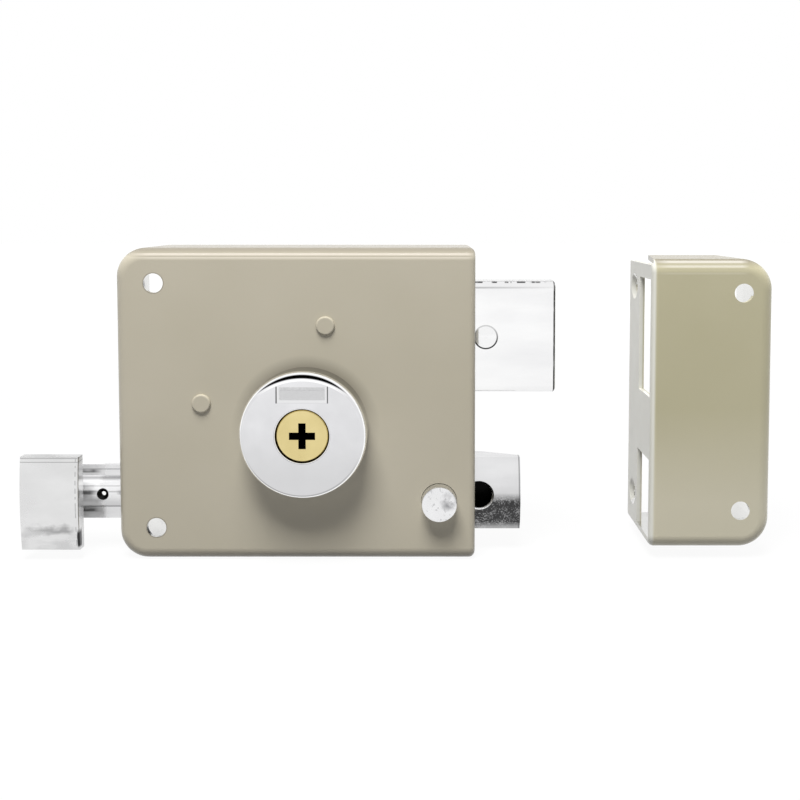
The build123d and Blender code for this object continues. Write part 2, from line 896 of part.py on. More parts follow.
def rod_pins():
    """Two pins through the latch and the rod's tongue."""
    x = latch_start + rod_pin_inset
    front = latch_front + latch_crown
    pin = disc(x, latch_z, rod_pin_radius, front, latch_back)
    return [Pos(0, 0, side * rod_pin_spread) * pin for side in (-1, 1)]


def handle_grip():
    """Cast pull: a bowed plate with a socket behind it for the end of the rod."""
    half = grip_height / 2
    middle = latch_z - grip_sag
    front = -grip_rise
    back = front + grip_thickness
    face = crowned_face(front, back, middle - half, middle + half, grip_crown)
    grip = along_x(face, grip_left, grip_right)
    ends = [e for e in grip.edges() if e.center().Y < at(front + grip_crown + running_gap)]
    grip = fillet(ends, grip_edge)
    neck_half = rod_height / 2 + grip_neck_margin
    neck = block(
        grip_left + grip_neck_end, grip_right - grip_neck_inset, back, grip_neck_back,
        latch_z - neck_half, latch_z + neck_half,
    )
    neck -= along_x(rod_face(), rod_left - overrun, grip_right + overrun)
    grip += neck
    for rivet in grip_rivets():
        grip -= rivet
    return grip


def grip_rivets():
    """Two rivets through the socket of the grip and the flanges of the rod."""
    x = (rod_left + grip_right - grip_neck_inset) / 2
    front = grip_thickness - grip_rise
    rivet = disc(x, latch_z, grip_rivet_radius, front, grip_neck_back)
    return [Pos(0, 0, side * grip_rivet_spread) * rivet for side in (-1, 1)]


def lever_pin():
    """Pin on the rod that works in the lever's fork."""
    head = disc(lever_pin_x, latch_z, lever_pin_head_radius, rod_front - lever_pin_head_height, rod_front)
    tip = lever_front + lever_sheet + loose_gap
    return head + disc(lever_pin_x, latch_z, lever_pin_radius, rod_front, tip)


def latch_lever():
    """Flat lever on its post, with an open fork round the pin of the rod."""
    hub = Circle(lever_hub_radius)
    end = Pos(0, -lever_fork_reach + lever_fork_radius) * Circle(lever_fork_radius)
    blade = Polygon(
        (lever_hub_radius, 0),
        (-lever_hub_radius, 0),
        (-lever_fork_radius, -lever_fork_reach),
        (lever_fork_radius, -lever_fork_reach),
        align=None,
    )
    slot_middle = -(lever_slot_start + lever_fork_reach + overrun) / 2
    slot_length = lever_fork_reach + overrun - lever_slot_start
    slot = Pos(0, slot_middle) * Rectangle(2 * (lever_pin_radius + lever_fork_gap), slot_length)
    outline = hub + blade + end - slot - Circle(post_radius + running_gap)
    lever = slab(outline, lever_front, lever_front + lever_sheet)
    return Pos(lever_post_x, 0, lever_post_z) * Rot(0, -lever_lean, 0) * lever


def spring_guide():
    """Guide rod in the latch's lug, through the spring and its bracket."""
    return bar(
        bracket_x - spring_guide_tail, latch_start + latch_lug_width, spring_depth, latch_z,
        spring_guide_radius,
    )


def coil_path(radius, length, turns):
    """Helix along x as one chain of tangent arcs, two to each quarter turn."""
    quarters = 4 * turns
    lead = length / turns / (2 * math.pi)
    edges = []
    for index in range(quarters):
        ends = []
        for angle in (math.pi / 2 * index, math.pi / 2 * (index + 1)):
            place = Vector(lead * angle, radius * math.cos(angle), radius * math.sin(angle))
            heading = Vector(lead, -radius * math.sin(angle), radius * math.cos(angle)).normalized()
            ends.append((place, heading))
        (start, leave), (end, arrive) = ends
        chord = end - start
        bend = 1 - leave.dot(arrive)
        along = chord.dot(leave + arrive)
        reach = (math.sqrt(along**2 + 2 * bend * chord.dot(chord)) - along) / (2 * bend)
        before = start + leave * reach
        after = end - arrive * reach
        joint = (before + after) / 2
        edges.append(TangentArc(start, joint, tangent=leave))
        edges.append(TangentArc(joint, end, tangent=(after - before).normalized()))
    return Wire(edges)


def latch_spring():
    """Compression spring between the bracket and the latch's lug."""
    start = bracket_x + spring_wire_radius + sliding_gap
    length = latch_start - spring_wire_radius - sliding_gap - start
    path = coil_path(spring_radius, length, spring_turns)
    section = Plane(path @ 0, z_dir=path % 0) * Circle(spring_wire_radius)
    return Pos(start, at(spring_depth), latch_z) * sweep(section, path=path)


def bracket_rivet_places():
    """Places of the rivets in the foot of the spring bracket."""
    x = bracket_x + bracket_foot / 2
    return [(x, latch_z - bracket_rivet_spread), (x, latch_z + bracket_rivet_spread)]


def spring_bracket():
    """Angle on the back plate that the spring pushes against."""
    half = bracket_width / 2
    base = case_depth - back_sheet
    front = spring_depth - bracket_rise
    foot = block(bracket_x, bracket_x + bracket_foot, base - bracket_sheet, base, latch_z - half, latch_z + half)
    wall = block(bracket_x - bracket_sheet, bracket_x, front, base, latch_z - half, latch_z + half)
    bracket = foot + wall
    bracket -= bar(
        bracket_x - bracket_sheet - overrun, bracket_x + overrun, spring_depth, latch_z,
        spring_guide_radius + running_gap,
    )
    for x, z in bracket_rivet_places():
        bracket -= disc(x, z, bracket_rivet_radius, 0, case_depth)
    return bracket


def bracket_rivets():
    """Rivets that hold the bracket on the back plate."""
    base = case_depth - back_sheet - bracket_sheet
    rivet = disc(0, 0, bracket_rivet_radius, base, case_depth)
    rivet += disc(0, 0, bracket_rivet_head_radius, base - bracket_rivet_head_rise, base)
    return spread(rivet, bracket_rivet_places())


def snib_button():
    """Button that slides through the face, with a groove for its clip and a stem."""
    button = disc(snib_x, latch_z, snib_radius, -snib_rise, case_sheet + sliding_gap)
    rim = [e for e in button.edges() if e.center().Y < at(-snib_rise + running_gap)]
    button = fillet(rim, snib_edge)
    groove_back = case_sheet + sliding_gap + snib_clip_thickness
    button += disc(snib_x, latch_z, snib_radius - snib_groove, case_sheet + sliding_gap, groove_back)
    return button + disc(snib_x, latch_z, snib_stem_radius, groove_back, snib_stem_end)


def button_clip():
    """Clip that keeps the button in the case."""
    front = case_sheet + sliding_gap
    return ring(snib_x, latch_z, snib_clip_radius, snib_radius - snib_groove, front, front + snib_clip_thickness)


def button_spring():
    """Leaf spot-welded inside the face, which pushes the button out."""
    half = snib_spring_width / 2
    right = snib_x + snib_spring_reach
    left = right - snib_spring_length
    foot_right = left + snib_spring_foot
    front = case_sheet + sliding_gap + snib_clip_thickness
    step = front - case_sheet
    leaf = block(left, foot_right, case_sheet, case_sheet + snib_spring_sheet, latch_z - half, latch_z + half)
    leaf += block(foot_right + step, right, front, front + snib_spring_sheet, latch_z - half, latch_z + half)
    ramp = Polyline(
        (foot_right, at(case_sheet), 0),
        (foot_right + step, at(front), 0),
        (foot_right + step, at(front + snib_spring_sheet), 0),
        (foot_right, at(case_sheet + snib_spring_sheet), 0),
        close=True,
    )
    leaf += Pos(0, 0, latch_z) * extrude(make_face(ramp), amount=half, both=True, dir=(0, 0, 1))
    return leaf - disc(snib_x, latch_z, snib_stem_radius + sliding_gap, 0, case_depth)


def strike_box():
    """Strike: a pressed box with a folded flange that the bolts enter."""
    box = hollow_pan(
        strike_left, strike_right, strike_bottom, strike_top, strike_depth, strike_sheet,
        strike_corner_radius, strike_bend_radius, strike_fold_radius, -1,
    )
    margin = strike_opening_margin
    wall = strike_left + strike_sheet + overrun
    half = deadbolt_height / 2 + margin
    box -= block(
        strike_left - overrun, wall, strike_opening_front, deadbolt_back + strike_bolt_gap,
        deadbolt_rise - half, deadbolt_rise + half,
    )
    half = latch_height / 2 + margin
    box -= block(
        strike_left - overrun, wall, strike_opening_front, latch_back + strike_latch_gap,
        latch_z - half, latch_z + half,
    )
    notch = Polyline(
        (strike_left - overrun, at(strike_fold_radius), 0),
        (strike_left + strike_sheet / 2, at(strike_fold_radius), 0),
        (strike_left + strike_notch, at(strike_depth + overrun), 0),
        (strike_left - overrun, at(strike_depth + overrun), 0),
        close=True,
    )
    cut = extrude(make_face(notch), amount=strike_flange_drop + overrun, dir=(0, 0, 1))
    box -= Pos(0, 0, strike_top - strike_flange_drop) * cut
    for z in (strike_top - strike_hole_drop, strike_bottom + strike_hole_rise):
        box -= disc(
            strike_left + strike_hole_inset, z, strike_hole_radius, -overrun, strike_sheet + overrun,
        )
    flange_hole_depth = strike_depth - flange_hole_inset
    for z in (strike_top - flange_hole_drop, strike_bottom + flange_hole_rise):
        box -= bar(strike_left - overrun, wall, flange_hole_depth, z, flange_hole_radius)
        sink = Cone(
            flange_sink_radius, flange_hole_radius, flange_sink_depth,
            align=(Align.CENTER, Align.CENTER, Align.MIN),
        )
        box -= Pos(strike_left, at(flange_hole_depth), z) * Rot(0, 90, 0) * sink
    return box


def write(name, shape):
    """Write one node, a single solid or a group of separate solids."""
    if isinstance(shape, list):
        shape = Compound(children=shape)
    export_step(shape, f"parts/{name}.step")


def main():
    os.makedirs("parts", exist_ok=True)
    nodes = {
        "case_shell": case_shell,
        "back_plate": back_plate,
        "back_plate_screws": back_screws,
        "bolt_guide_post": bolt_guide_post,
        "lever_post": lever_post,
        "post_clips": post_clips,
        "cylinder_body": cylinder_body,
        "drum_cover": drum_cover,
        "cylinder_screws": cylinder_screws,
        "driver_pins": driver_pins,
        "pin_springs": pin_springs,
        "cylinder_plug": cylinder_plug,
        "key_pins": key_pins,
        "plug_clip": plug_clip,
        "drive_pinion": drive_pinion,
        "deadbolt": deadbolt,
        "deadbolt_tail": deadbolt_tail,
        "deadbolt_rivet": deadbolt_rivet,
        "latch_bolt": latch_bolt,
        "latch_rod": latch_rod,
        "rod_pins": rod_pins,
        "lever_pin": lever_pin,
        "handle_grip": handle_grip,
        "grip_rivets": grip_rivets,
        "spring_guide": spring_guide,
        "latch_spring": latch_spring,
        "spring_bracket": spring_bracket,
        "bracket_rivets": bracket_rivets,
        "latch_lever": latch_lever,
        "snib_button": snib_button,
        "button_clip": button_clip,
        "button_spring": button_spring,
        "strike_box": strike_box,
    }
    for name, make in nodes.items():
        write(name, make())


main()
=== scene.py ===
"""Looks of the rim box lock: materials, studio light, white floor and the photograph's camera.

Metres, in the part's frame: x runs towards the bolts, z is up, and the room is on the -y side.
The CAD pieces keep their shapes. This script gives each one its finish, adds the thin lip of the drum's
mouth, and puts two springs in as pieces of their own, in place of their CAD nodes.
"""
import math

import bmesh
import bpy
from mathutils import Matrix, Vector

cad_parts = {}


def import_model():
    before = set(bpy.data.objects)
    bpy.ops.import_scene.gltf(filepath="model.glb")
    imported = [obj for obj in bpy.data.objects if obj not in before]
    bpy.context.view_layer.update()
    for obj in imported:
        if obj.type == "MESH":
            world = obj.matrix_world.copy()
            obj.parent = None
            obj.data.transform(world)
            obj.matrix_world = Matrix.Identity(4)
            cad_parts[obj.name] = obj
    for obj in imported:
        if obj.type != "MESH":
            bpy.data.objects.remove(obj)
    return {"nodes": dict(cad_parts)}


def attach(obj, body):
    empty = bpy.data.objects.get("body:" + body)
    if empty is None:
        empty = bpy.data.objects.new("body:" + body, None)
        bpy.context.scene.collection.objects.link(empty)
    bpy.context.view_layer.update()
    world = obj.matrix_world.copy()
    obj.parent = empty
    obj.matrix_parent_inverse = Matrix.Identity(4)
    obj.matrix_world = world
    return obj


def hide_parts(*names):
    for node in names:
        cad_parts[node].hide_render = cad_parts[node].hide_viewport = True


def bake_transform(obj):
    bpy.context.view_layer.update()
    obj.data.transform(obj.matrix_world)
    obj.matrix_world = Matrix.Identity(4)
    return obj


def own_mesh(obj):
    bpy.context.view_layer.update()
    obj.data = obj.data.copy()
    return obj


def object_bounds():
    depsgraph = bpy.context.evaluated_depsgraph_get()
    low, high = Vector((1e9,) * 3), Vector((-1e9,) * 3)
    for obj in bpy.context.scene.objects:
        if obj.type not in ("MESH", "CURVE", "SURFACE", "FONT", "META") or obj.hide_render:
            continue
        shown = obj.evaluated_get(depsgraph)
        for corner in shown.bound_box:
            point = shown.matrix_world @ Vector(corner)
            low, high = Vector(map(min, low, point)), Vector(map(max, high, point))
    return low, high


MM = 0.001

# Camera, from the vanishing points and edges of the photograph
IMAGE_SIZE = 800
FOCAL_PIXELS = 938.4
AXIS_PIXEL = (427.8, 264.8)
SENSOR = 36.0
CAMERA_PLACE = (35.6 * MM, -301.4 * MM, 62.4 * MM)
CAMERA_PITCH = 3.01

# Places that finishes follow, in millimetres
CASE_FRONT = -30.0
CASE_SHEET = 1.5
CASE_TOP = 53.0
CASE_FOOT = -39.0
STRIKE_TOP = 49.7
CASE_MIDDLE = (-3.0, 0.0, 7.0)
STRIKE_MIDDLE = (118.6, 0.0, 7.0)
MOUNT_HOLES = ((-44.1, 42.8), (-44.1, -29.2))
MOUNT_HOLE_RADIUS = 2.85
BUTTON = (38.9, -21.3)
SNIB_HOLES = ((38.9, -21.3), (50.9, -21.3))
SNIB_HOLE_RADIUS = 3.95
LATCH_FRONT = -24.2
LATCH_END = 63.4
LATCH_Z = -21.3
CASE_LEFT = -55.5
ROD_HOLE = (-62.1, -21.3)
# Painted dark reflection lines, level along the rod: height, half width, soft length, colour and share
ROD_REFLECTION_LINES = (
    (-14.5, 0.08, 0.15, "77777a", 0.6), (-16.9, 0.1, 0.6, "7d7d7e", 0.75), (-18.9, 0.06, 0.14, "8c8c8d", 0.5),
    (-20.5, 0.12, 0.2, "8c8c8d", 0.45), (-25.6, 0.12, 0.2, "6a6a6b", 0.8),
)
# Painted shade by the pull and by the case: height and half width
ROD_SHADE_BANDS = ((-15.0, 0.4), (-20.7, 0.5), (-26.9, 0.5))
GRIP_LEFT = -83.8
GRIP_RIGHT = -66.6
GRIP_BOTTOM = -35.8
GRIP_TOP = -8.2
GRIP_FRONT = -31.5
DEADBOLT_RIVET = (52.8, 26.35)
DEADBOLT_RIVET_RADIUS = 3.3
DEADBOLT_TOP = 42.95
DEADBOLT_END = 73.46
# Painted highlights and dark reflection lines along the bent top edge: height, half width, colour and share
CASE_REFLECTION_LINES = ((51.1, 0.3, "d9d1c6", 0.5), (50.62, 0.1, "968f7e", 0.8), (50.15, 0.25, "d2cbbd", 0.5))
CASE_REFLECTION_SPAN = (-48.5, 48.2)
STRIKE_REFLECTION_LINES = (
    (48.9, 0.25, "dedad2", 0.5), (48.3, 0.12, "a9a48f", 0.6), (47.6, 0.25, "dad6cd", 0.5),
    (46.9, 0.12, "a5a089", 0.5), (45.6, 0.2, "d6d1bc", 0.3),
)
STRIKE_REFLECTION_SPAN = (103.0, 128.0)
STRIKE_FLANGE = 101.9

# Drum, plug and lip
DRUM_RADIUS = 18.3
DRUM_FRONT = -39.0
DRUM_MOUTH = 8.05
LIP_BORE = 7.74
LIP_DEPTH = 0.7
LIP_STEPS = 6
LIP_SIDES = 96
# Painted reflection, a black crescent under the rim: outer radius, drop of the inner circle's middle, and
# inner radius
CRESCENT_REFLECTION = (17.5, 4.05, 20.5)
CRESCENT_FOOT = 11.0
PLUG_FRONT = -38.8
PLUG_RADIUS = 7.5
KEYWAY_REACH = 3.9
# Middle in x and z, half width and half height
NAME_PLATE = (0.0, 11.75, 7.4, 2.35)
# Rise of the frosted pad's middle, its inset at the sides and half its height
NAME_PAD = (0.35, 1.1, 1.7)

# Surfaces, with depths in millimetres
ENAMEL_GLOSS = {"IOR": 1.5, "Coat Weight": 0.35, "Coat Roughness": 0.12}
ENAMEL_PEEL = 0.02
GRAIN_DEPTH = 0.004
CAST_DEPTH = 0.12
TURNING_PITCH = 0.35
TURNING_DEPTH = 0.0004
# Tone that painted shade blends the enamel towards
PAINTED_SHADE_ENAMEL = "6e675a"

# Studio
FLOOR_SIZE = 6.0
FLOOR_TONE = 0.2
FLOOR_SHARE = 0.78
FLOOR_GLOW = 1.2
FLOOR_FAR_GLOW = 1.31
FLOOR_FADE = (0.3, 0.7)
WORLD_DIFFUSE = 0.1
LAMPS = {
    "key": {"place": (-0.06, -0.33, 0.74), "size": 0.38, "power": 11.6},
    "side_reflection": {"place": (0.9, 0.12, 0.25), "size": 0.5, "power": 3.0},
    "back": {"place": (0.15, 0.9, 0.45), "size": 0.7, "power": 5.0},
}
CARD = {"place": (0.03, 0.5, 0.35), "width": 1.2, "depth": 0.25}

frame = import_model()
cad_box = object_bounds()
nodes = frame["nodes"]


def linear(hex_colour):
    """Linear colour of a six-digit hex colour."""
    values = []
    for start in (0, 2, 4):
        share = int(hex_colour[start:start + 2], 16) / 255
        values.append(share / 12.92 if share <= 0.04045 else ((share + 0.055) / 1.055) ** 2.4)
    return (*values, 1.0)


class Finish:
    """A principled material and the short calls that its texture needs."""

    def __init__(self, name, metallic=0.0, roughness=0.4):
        self.material = bpy.data.materials.new(name)
        self.material.use_nodes = True
        self.tree = self.material.node_tree
        self.shader = self.tree.nodes["Principled BSDF"]
        self.shader.inputs["Metallic"].default_value = metallic
        self.shader.inputs["Roughness"].default_value = roughness
        self.place = self.tree.nodes.new("ShaderNodeTexCoord").outputs["Object"]
        split = self.node("ShaderNodeSeparateXYZ")
        self.link(self.place, split.inputs[0])
        self.x, self.y, self.z = [self.math("DIVIDE", split.outputs[name], MM) for name in "XYZ"]

    def node(self, kind, **settings):
        made = self.tree.nodes.new(kind)
        for name, value in settings.items():
            setattr(made, name, value)
        return made

    def link(self, output, target):
        self.tree.links.new(output, target)

    def math(self, operation, first, second=0.0):
        made = self.node("ShaderNodeMath", operation=operation)
        for socket, value in zip(made.inputs, (first, second)):
            if isinstance(value, (int, float)):
                socket.default_value = value
            else:
                self.link(value, socket)
        return made.outputs[0]

    def noise(self, scale, detail=3.0, stretch=None):
        """Cloudy noise of a scale in features per metre, stretched along x, y and z if asked."""
        made = self.node("ShaderNodeTexNoise")
        made.inputs["Scale"].default_value = scale
        made.inputs["Detail"].default_value = detail
        place = self.place
        if stretch:
            mapping = self.node("ShaderNodeMapping")
            mapping.inputs["Scale"].default_value = stretch
            self.link(place, mapping.inputs["Vector"])
            place = mapping.outputs[0]
        self.link(place, made.inputs["Vector"])
        return made.outputs["Fac"]

    def ramp(self, value, low, high, first=0.0, last=1.0):
        """A value between low and high, mapped from first to last."""
        made = self.node("ShaderNodeMapRange")
        for name, number in zip(("From Min", "From Max", "To Min", "To Max"), (low, high, first, last)):
            made.inputs[name].default_value = number
        self.link(value, made.inputs["Value"])
        return made.outputs[0]

    def blend(self, value, first, second):
        """Colour between two colours, by a value."""
        made = self.node("ShaderNodeMix", data_type="RGBA")
        if isinstance(value, (int, float)):
            made.inputs[0].default_value = value
        else:
            self.link(value, made.inputs[0])
        for socket, colour in zip((made.inputs[6], made.inputs[7]), (first, second)):
            if isinstance(colour, str):
                socket.default_value = linear(colour)
            else:
                self.link(colour, socket)
        return made.outputs[2]

    def both(self, *values):
        """Product of values from 0 to 1."""
        result = values[0]
        for value in values[1:]:
            result = self.math("MULTIPLY", result, value)
        return result

    def distance(self, x, z):
        """Distance in millimetres from an axis along y."""
        across = self.math("SUBTRACT", self.x, x)
        up = self.math("SUBTRACT", self.z, z)
        square = self.math("ADD", self.math("MULTIPLY", across, across), self.math("MULTIPLY", up, up))
        return self.math("SQRT", square)

    def band(self, value, middle, half, soft):
        """1 within half of the middle of a value, falling to 0 over the soft length."""
        off = self.math("ABSOLUTE", self.math("SUBTRACT", value, middle))
        return self.ramp(off, half, half + soft, 1.0, 0.0)

    def colour(self, output):
        self.link(output, self.shader.inputs["Base Color"])

    def roughness(self, output):
        self.link(output, self.shader.inputs["Roughness"])

    def bump(self, *heights):
        """Bumps one on another, each a height output with its depth in metres."""
        normal = None
        for height, depth in heights:
            made = self.node("ShaderNodeBump")
            made.inputs["Strength"].default_value = 1.0
            made.inputs["Distance"].default_value = depth
            self.link(height, made.inputs["Height"])
            if normal:
                self.link(normal, made.inputs["Normal"])
            normal = made.outputs[0]
        self.link(normal, self.shader.inputs["Normal"])


def enamel(name, pale, deep, top, reflection_lines, span):
    """Gloss stoving enamel on pressed steel, with a faint orange peel, and its colour for marks on top.

    Painted shade darkens its top. Lines are painted highlights and reflections along the bent top edge,
    between the span's two ends.
    """
    finish = Finish(name)
    for socket, value in ENAMEL_GLOSS.items():
        finish.shader.inputs[socket].default_value = value
    colour = finish.blend(finish.ramp(finish.noise(28, 2.0), 0.3, 0.7), pale, deep)
    # Painted shade towards the top edge, which the lamps light more than the face.
    colour = finish.blend(finish.ramp(finish.z, top - 2.6, top - 0.6, 0.0, 0.75), colour, PAINTED_SHADE_ENAMEL)
    front = finish.both(
        finish.ramp(finish.y, CASE_FRONT + 2.8, CASE_FRONT + 2.4),
        finish.ramp(finish.x, span[0] - 3.0, span[0] + 3.0),
        finish.ramp(finish.x, span[1] + 1.1, span[1] - 1.1),
    )
    # Painted highlights and dark reflection lines on the front of the bent top edge.
    for z, half, tone, share in reflection_lines:
        colour = finish.blend(finish.both(finish.band(finish.z, z, half, 0.15), front, share), colour, tone)
    finish.roughness(finish.ramp(finish.noise(220), 0.3, 0.7, 0.3, 0.4))
    finish.bump((finish.noise(900, 2.0), GRAIN_DEPTH * MM), (finish.noise(90, 1.0), ENAMEL_PEEL * MM))
    return finish, colour


def case_enamel():
    """The case, with painted shade in the cut edges of its holes, round the top of its drum and along its
    foot.
    """
    finish, colour = enamel("case_enamel", "bab3a1", "b5ae9b", CASE_TOP, CASE_REFLECTION_LINES, CASE_REFLECTION_SPAN)
    # Painted shade in the cut wall of each mounting hole.
    for x, z in MOUNT_HOLES:
        edge = finish.band(finish.distance(x, z), MOUNT_HOLE_RADIUS, 0.12, 0.25)
        colour = finish.blend(finish.both(edge, 0.6), colour, "6b6455")
    # Painted shade round the drum, most above it, and darker towards the foot.
    drum_shade = finish.ramp(finish.distance(0.0, 0.0), DRUM_RADIUS, DRUM_RADIUS + 3.6, 0.55, 0.0)
    drum_shade_above = finish.both(drum_shade, finish.ramp(finish.z, -4.0, 12.0, 0.35, 1.0))
    painted_shade = finish.math("MAXIMUM", drum_shade_above, finish.ramp(finish.z, CASE_FOOT + 2.4, CASE_FOOT, 0.0, 1.0))
    finish.colour(finish.blend(painted_shade, colour, PAINTED_SHADE_ENAMEL))
    return finish.material


def strike_enamel():
    """The strike: paler on the flange that the bolts enter, in part painted light for that side, which the
    lamps reach less.
    """
    finish, colour = enamel("strike_enamel", "b7b193", "b1ab8c", STRIKE_TOP, STRIKE_REFLECTION_LINES, STRIKE_REFLECTION_SPAN)
    colour = finish.blend(finish.ramp(finish.z, 6.0, -22.0), colour, "c8c2ac")
    # Paler, greyer tone on the flange, in part painted light for that side.
    flange_light = finish.ramp(finish.x, STRIKE_FLANGE + 0.3, STRIKE_FLANGE - 0.3)
    finish.colour(finish.blend(flange_light, colour, "dad9d0"))
    return finish.material


def bare_sheet(name):
    """Zinc-coated sheet inside the pressed boxes."""
    finish = Finish(name, metallic=1.0)
    cloud = finish.noise(60, 3.0)
    finish.colour(finish.blend(finish.ramp(cloud, 0.3, 0.7), "e9e9e7", "dcdcda"))
    finish.roughness(finish.ramp(cloud, 0.3, 0.7, 0.16, 0.26))
    return finish.material


def plating(name, pale, dark, roughness, grain):
    """Bright plating with long grain and a few dull patches, and its colour for marks on top."""
    finish = Finish(name, metallic=1.0)
    streaks = finish.noise(120, 4.0, grain)
    patches = finish.noise(90, 4.0)
    tone = finish.blend(finish.ramp(streaks, 0.35, 0.7), pale, dark)
    finish.roughness(finish.ramp(patches, 0.35, 0.7, roughness * 0.7, roughness * 1.4))
    finish.bump((streaks, GRAIN_DEPTH * MM))
    return finish, tone


def plain(name, pale, dark, roughness, grain=(1, 1, 1)):
    """Plating with no marks."""
    finish, tone = plating(name, pale, dark, roughness, grain)
    finish.colour(tone)
    return finish.material


def deadbolt_plating():
    """The deadbolt: near-white plating, a broken dark line of painted reflection on its top edge, and painted
    shade under the rounded top, at its end and round its rivet.
    """
    finish, tone = plating("deadbolt_plating", "f6f6f6", "ececed", 0.16, (0.25, 1, 1))
    # Painted reflection: a broken dark line along the top edge.
    reflection_breaks = finish.ramp(finish.noise(420, 3.0, (1, 0.1, 0.1)), 0.47, 0.53)
    top = finish.both(
        finish.band(finish.z, DEADBOLT_TOP - 0.35, 0.14, 0.12),
        reflection_breaks,
        finish.ramp(finish.x, DEADBOLT_END - 2.46, DEADBOLT_END - 5.46),
    )
    tone = finish.blend(finish.both(top, 0.9), tone, "1c1c1d")
    # Painted shade where the rounded top meets the face.
    fillet_shade = finish.both(
        finish.band(finish.z, DEADBOLT_TOP - 1.9, 0.1, 0.3),
        finish.ramp(finish.x, DEADBOLT_END - 1.46, DEADBOLT_END - 23.46, 0.1, 0.6),
    )
    tone = finish.blend(fillet_shade, tone, "8a8a8b")
    # Painted shade: a broken dark line along the end.
    end = finish.both(
        finish.band(finish.x, DEADBOLT_END - 0.42, 0.16, 0.1),
        finish.ramp(finish.noise(300, 2.0, (0.1, 0.1, 1)), 0.3, 0.45, 0.5, 0.95),
    )
    tone = finish.blend(end, tone, "2a2a2b")
    # Painted shade in the gap round the rivet's head, most below it.
    rivet_shade = finish.band(finish.distance(*DEADBOLT_RIVET), DEADBOLT_RIVET_RADIUS + 0.12, 0.14, 0.14)
    low = finish.ramp(finish.z, DEADBOLT_RIVET[1] + 2.6, DEADBOLT_RIVET[1] - 1.4, 0.35, 1.0)
    tone = finish.blend(finish.both(rivet_shade, low), tone, "2c2c2d")
    finish.colour(tone)
    return finish.material


def latch_plating():
    """The latch: smooth above, rough cast in its lower half with painted shade and dark reflection there, a
    painted highlight on each snib hole's lower rim and painted shade inside the holes.
    """
    finish, tone = plating("latch_plating", "e7e7e8", "dcdcdd", 0.18, (0.4, 1, 1))
    shade_fall = finish.ramp(finish.z, LATCH_Z + 6.5, LATCH_Z - 1.5)
    end = finish.both(finish.band(finish.x, LATCH_END - 0.35, 0.12, 0.12), 0.6)
    grit = finish.noise(2300, 4.0)
    cloud = finish.noise(420, 3.0)
    low = finish.ramp(finish.z, LATCH_Z + 0.6, LATCH_Z - 2.0)
    spots = finish.ramp(finish.math("ADD", grit, finish.math("MULTIPLY", cloud, 0.6)), 0.8, 1.04)
    # Painted shade: darker downwards.
    tone = finish.blend(finish.both(shade_fall, 0.5), tone, "b9b9ba")
    # Painted dark reflection over the speckle of the rough-cast lower half.
    speckle_and_reflection = finish.blend(spots, "0e0e0f", "9c9c9d")
    rim = finish.ramp(finish.z, LATCH_Z - 8.6, LATCH_Z - 10.4, 1.0, 0.4)
    tone = finish.blend(finish.both(low, rim, 0.92), tone, speckle_and_reflection)
    inside = finish.ramp(finish.y, LATCH_FRONT + 0.75, LATCH_FRONT + 1.1)
    # Painted highlight on the lower rim of each snib hole.
    for x, z in SNIB_HOLES:
        rim_highlight = finish.both(
            finish.band(finish.distance(x, z), SNIB_HOLE_RADIUS + 0.32, 0.16, 0.14),
            finish.ramp(finish.z, z - 0.4, z - 1.6),
        )
        tone = finish.blend(rim_highlight, tone, "ffffff")
    # Painted shade: dark line along the end.
    tone = finish.blend(end, tone, "4a4a4b")
    # Painted shade inside the snib holes.
    for x, z in SNIB_HOLES:
        painted_wall = finish.ramp(finish.distance(x, z), SNIB_HOLE_RADIUS + 0.03, SNIB_HOLE_RADIUS + 0.06, 1.0, 0.0)
        tone = finish.blend(finish.both(painted_wall, inside), tone, "0b0b0b")
    finish.colour(tone)
    finish.roughness(finish.ramp(low, 0.0, 1.0, 0.18, 0.42))
    finish.bump((finish.math("MULTIPLY", grit, low), CAST_DEPTH * MM))
    return finish.material


def rod_plating():
    """The rod: bright pressed sheet with painted reflection lines, painted shade in its hole's wall and by
    the pull and the case, and less metallic by the pull.
    """
    finish, tone = plating("rod_plating", "ededee", "dcdcdd", 0.18, (0.2, 1, 1))
    # Painted dark reflection lines along the pressed profile.
    for z, half, soft, dark, share in ROD_REFLECTION_LINES:
        tone = finish.blend(finish.both(finish.band(finish.z, z, half, soft), share), tone, dark)
    lower = finish.ramp(finish.z, LATCH_Z - 1.0, LATCH_Z - 3.8)
    shade = finish.both(lower, finish.ramp(finish.z, LATCH_Z - 4.2, LATCH_Z - 4.0))
    tone = finish.blend(finish.both(shade, 0.3), tone, "a0a0a1")
    end = finish.ramp(finish.x, GRIP_RIGHT + 3.4, GRIP_RIGHT + 0.6, 0.0, 0.8)
    far = finish.ramp(finish.x, CASE_LEFT - 2.6, CASE_LEFT - 0.4, 0.0, 0.8)
    patchy = finish.ramp(finish.noise(300, 2.0, (0.4, 1, 1)), 0.38, 0.55)
    # Painted shade near the pull and near the case.
    for z, half in ROD_SHADE_BANDS:
        stain = finish.both(finish.band(finish.z, z, half, 0.35), patchy, finish.math("MAXIMUM", end, far))
        tone = finish.blend(stain, tone, "3c3c3d")
    # Painted shade in the wall of the hole.
    ring = finish.ramp(finish.distance(*ROD_HOLE), 1.7, 1.85, 1.0, 0.0)
    tone = finish.blend(ring, tone, "050505")
    finish.colour(tone)
    metal = finish.ramp(finish.x, GRIP_RIGHT + 4.4, GRIP_RIGHT + 2.6, 0.75, 0.3)
    finish.link(metal, finish.shader.inputs["Metallic"])
    return finish.material


